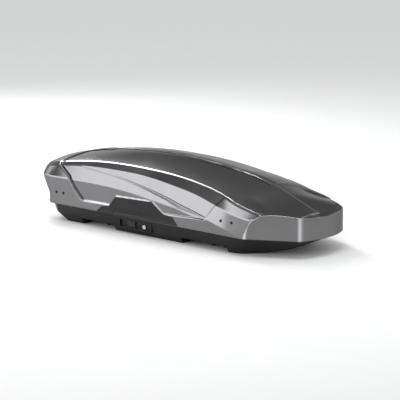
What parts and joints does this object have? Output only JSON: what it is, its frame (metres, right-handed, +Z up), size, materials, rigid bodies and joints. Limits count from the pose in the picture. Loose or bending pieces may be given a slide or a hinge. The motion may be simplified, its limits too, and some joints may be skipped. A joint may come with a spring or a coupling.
{
  "type": "roof cargo box",
  "caption": "Long hard-shell roof box with a peaked lid that opens from either side, sliding side locks, lifter arms and crossbar clamps under a black tub.",
  "frame": {"origin": "middle of the underside, under the centre of the whole box", "axes": "+X towards the nose, +Z up, -Y towards the near side"},
  "size_m": [1.9, 0.698, 0.44],
  "materials": {
    "lid_silver": "glossy moulded plastic with a fine metallic fleck",
    "inner_grey": "matt moulded plastic",
    "tub_black": "grained black moulded plastic",
    "trim_black": "fine grained black plastic",
    "control_black": "smooth satin black plastic",
    "clamp_black": "glass-filled black nylon",
    "pad_rubber": "black rubber",
    "rivet_black": "black painted rivet heads",
    "key_metal": "plated lock barrel",
    "bracket_steel": "zinc-plated steel"
  },
  "bodies": {
    "base": {"base_shell": "tub_black", "lock_housing_near": "trim_black", "lock_housing_far": "trim_black", "floor_rail_near": "bracket_steel", "floor_rail_far": "bracket_steel", "tub_brackets_near": "bracket_steel", "tub_brackets_far": "bracket_steel", "bar_pads": "pad_rubber", "clamp_body_rear_near": "clamp_black", "clamp_body_rear_far": "clamp_black", "clamp_body_front_near": "clamp_black", "clamp_body_front_far": "clamp_black"},
    "far_arms": {"far_lifter_arms": "bracket_steel"},
    "lid": {"lid_shell": "lid_silver", "lid_ribs": "inner_grey", "lid_rivets": "rivet_black", "nose_plugs": "control_black", "handle_plate_near": "trim_black", "handle_plate_far": "trim_black", "lid_brackets_near": "bracket_steel", "lid_brackets_far": "bracket_steel"},
    "near_arms": {"near_lifter_arms": "bracket_steel"},
    "near_lock": {"lock_rail_near": "bracket_steel", "lock_slider_near": "control_black"},
    "near_key": {"key_cylinder_near": "key_metal", "lock_cam_near": "key_metal"},
    "far_lock": {"lock_rail_far": "bracket_steel", "lock_slider_far": "control_black"},
    "far_key": {"key_cylinder_far": "key_metal", "lock_cam_far": "key_metal"},
    "knob_rear_near": {"clamp_knob_rear_near": "control_black"},
    "jaw_back_rear_near": {"clamp_jaw_back_rear_near": "clamp_black"},
    "jaw_fore_rear_near": {"clamp_jaw_fore_rear_near": "clamp_black"},
    "knob_rear_far": {"clamp_knob_rear_far": "control_black"},
    "jaw_back_rear_far": {"clamp_jaw_back_rear_far": "clamp_black"},
    "jaw_fore_rear_far": {"clamp_jaw_fore_rear_far": "clamp_black"},
    "knob_front_near": {"clamp_knob_front_near": "control_black"},
    "jaw_back_front_near": {"clamp_jaw_back_front_near": "clamp_black"},
    "jaw_fore_front_near": {"clamp_jaw_fore_front_near": "clamp_black"},
    "knob_front_far": {"clamp_knob_front_far": "control_black"},
    "jaw_back_front_far": {"clamp_jaw_back_front_far": "clamp_black"},
    "jaw_fore_front_far": {"clamp_jaw_fore_front_far": "clamp_black"}
  },
  "joints": [
    {"name": "lid_open_near", "type": "hinge", "parent": "base", "child": "far_arms", "pos_m": [0, 0.31, 0.096], "axis": [-1, 0, 0], "range_deg": [0, 40]},
    {"name": "lid_open_far", "type": "hinge", "parent": "far_arms", "child": "lid", "pos_m": [0, -0.31, 0.096], "axis": [1, 0, 0], "range_deg": [0, 40]},
    {"name": "near_arms_lift", "type": "hinge", "parent": "base", "child": "near_arms", "pos_m": [0, -0.31, 0.096], "axis": [1, 0, 0], "range_deg": [0, 40]},
    {"name": "near_lock_slide", "type": "slide", "parent": "base", "child": "near_lock", "axis": [-1, 0, 0], "range_m": [0, 0.02]},
    {"name": "near_key_turn", "type": "hinge", "parent": "base", "child": "near_key", "pos_m": [-0.119, -0.312, 0.056], "axis": [0, -1, 0], "range_deg": [0, 90]},
    {"name": "far_lock_slide", "type": "slide", "parent": "base", "child": "far_lock", "axis": [-1, 0, 0], "range_m": [0, 0.02]},
    {"name": "far_key_turn", "type": "hinge", "parent": "base", "child": "far_key", "pos_m": [-0.119, 0.312, 0.056], "axis": [0, 1, 0], "range_deg": [0, 90]},
    {"name": "knob_rear_near_turn", "type": "hinge", "parent": "base", "child": "knob_rear_near", "pos_m": [-0.44, -0.215, 0.06], "axis": [0, 0, 1], "range_deg": [0, 720]},
    {"name": "jaw_back_rear_near_swing", "type": "hinge", "parent": "base", "child": "jaw_back_rear_near", "pos_m": [-0.489, -0.215, 0.05], "axis": [0, -1, 0], "range_deg": [0, 12]},
    {"name": "jaw_fore_rear_near_swing", "type": "hinge", "parent": "base", "child": "jaw_fore_rear_near", "pos_m": [-0.391, -0.215, 0.05], "axis": [0, 1, 0], "range_deg": [0, 12]},
    {"name": "knob_rear_far_turn", "type": "hinge", "parent": "base", "child": "knob_rear_far", "pos_m": [-0.44, 0.215, 0.06], "axis": [0, 0, 1], "range_deg": [0, 720]},
    {"name": "jaw_back_rear_far_swing", "type": "hinge", "parent": "base", "child": "jaw_back_rear_far", "pos_m": [-0.489, 0.215, 0.05], "axis": [0, -1, 0], "range_deg": [0, 12]},
    {"name": "jaw_fore_rear_far_swing", "type": "hinge", "parent": "base", "child": "jaw_fore_rear_far", "pos_m": [-0.391, 0.215, 0.05], "axis": [0, 1, 0], "range_deg": [0, 12]},
    {"name": "knob_front_near_turn", "type": "hinge", "parent": "base", "child": "knob_front_near", "pos_m": [0.36, -0.215, 0.06], "axis": [0, 0, 1], "range_deg": [0, 720]},
    {"name": "jaw_back_front_near_swing", "type": "hinge", "parent": "base", "child": "jaw_back_front_near", "pos_m": [0.311, -0.215, 0.05], "axis": [0, -1, 0], "range_deg": [0, 12]},
    {"name": "jaw_fore_front_near_swing", "type": "hinge", "parent": "base", "child": "jaw_fore_front_near", "pos_m": [0.409, -0.215, 0.05], "axis": [0, 1, 0], "range_deg": [0, 12]},
    {"name": "knob_front_far_turn", "type": "hinge", "parent": "base", "child": "knob_front_far", "pos_m": [0.36, 0.215, 0.06], "axis": [0, 0, 1], "range_deg": [0, 720]},
    {"name": "jaw_back_front_far_swing", "type": "hinge", "parent": "base", "child": "jaw_back_front_far", "pos_m": [0.311, 0.215, 0.05], "axis": [0, -1, 0], "range_deg": [0, 12]},
    {"name": "jaw_fore_front_far_swing", "type": "hinge", "parent": "base", "child": "jaw_fore_front_far", "pos_m": [0.409, 0.215, 0.05], "axis": [0, 1, 0], "range_deg": [0, 12]}
  ],
  "couplings": [
    {"joint": "near_arms_lift", "follows": "lid_open_far", "ratio": 1},
    {"joint": "jaw_back_rear_near_swing", "follows": "knob_rear_near_turn", "ratio": 0.016667},
    {"joint": "jaw_fore_rear_near_swing", "follows": "knob_rear_near_turn", "ratio": 0.016667},
    {"joint": "jaw_back_rear_far_swing", "follows": "knob_rear_far_turn", "ratio": 0.016667},
    {"joint": "jaw_fore_rear_far_swing", "follows": "knob_rear_far_turn", "ratio": 0.016667},
    {"joint": "jaw_back_front_near_swing", "follows": "knob_front_near_turn", "ratio": 0.016667},
    {"joint": "jaw_fore_front_near_swing", "follows": "knob_front_near_turn", "ratio": 0.016667},
    {"joint": "jaw_back_front_far_swing", "follows": "knob_front_far_turn", "ratio": 0.016667},
    {"joint": "jaw_fore_front_far_swing", "follows": "knob_front_far_turn", "ratio": 0.016667}
  ]
}
